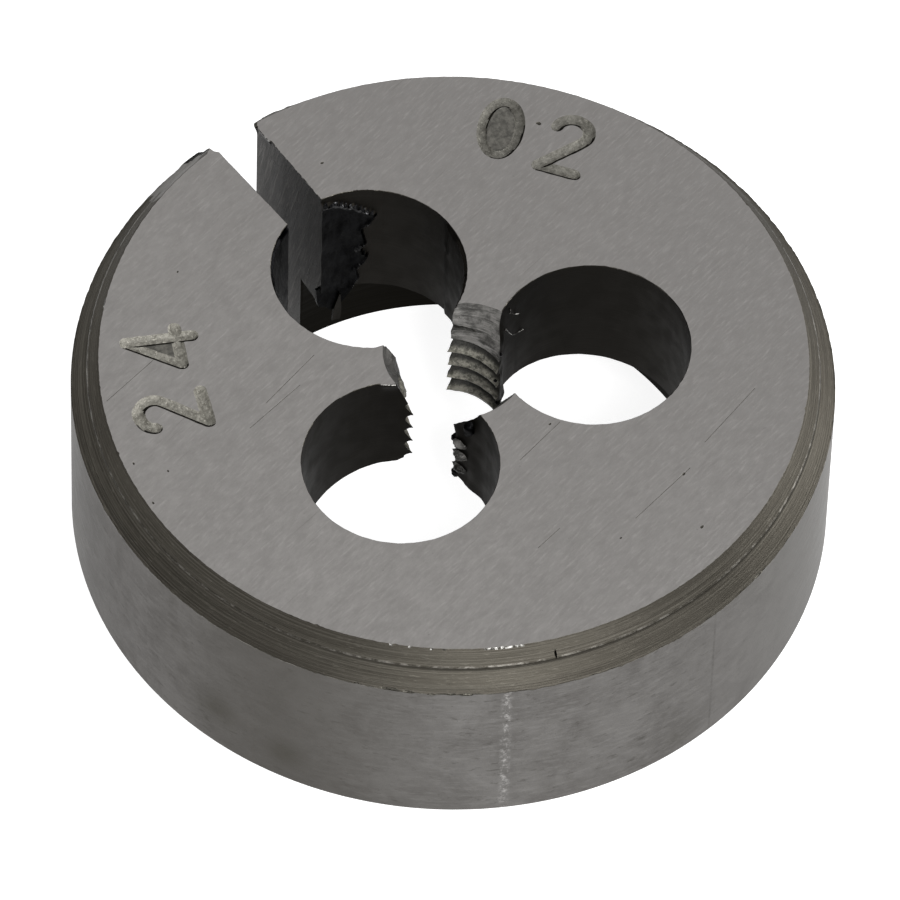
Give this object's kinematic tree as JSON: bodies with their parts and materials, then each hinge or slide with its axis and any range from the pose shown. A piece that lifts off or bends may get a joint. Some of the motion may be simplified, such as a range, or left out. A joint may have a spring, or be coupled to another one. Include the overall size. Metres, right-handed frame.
{
  "type": "round split threading die",
  "caption": "Round split die that cuts an outside thread on a rod, with chip holes round the toothed bore, a slot for closing it and a recessed underside.",
  "frame": {"origin": "centre of the underside, on the axis of the thread", "axes": "+Z along the thread's axis toward the face where the rod enters, +Y toward the slot"},
  "size_m": [0.025, 0.0249, 0.009],
  "materials": {
    "tool_steel": "ground faces, dark turned chamfer"
  },
  "bodies": {
    "root": {"round_die": "tool_steel"}
  },
  "joints": []
}
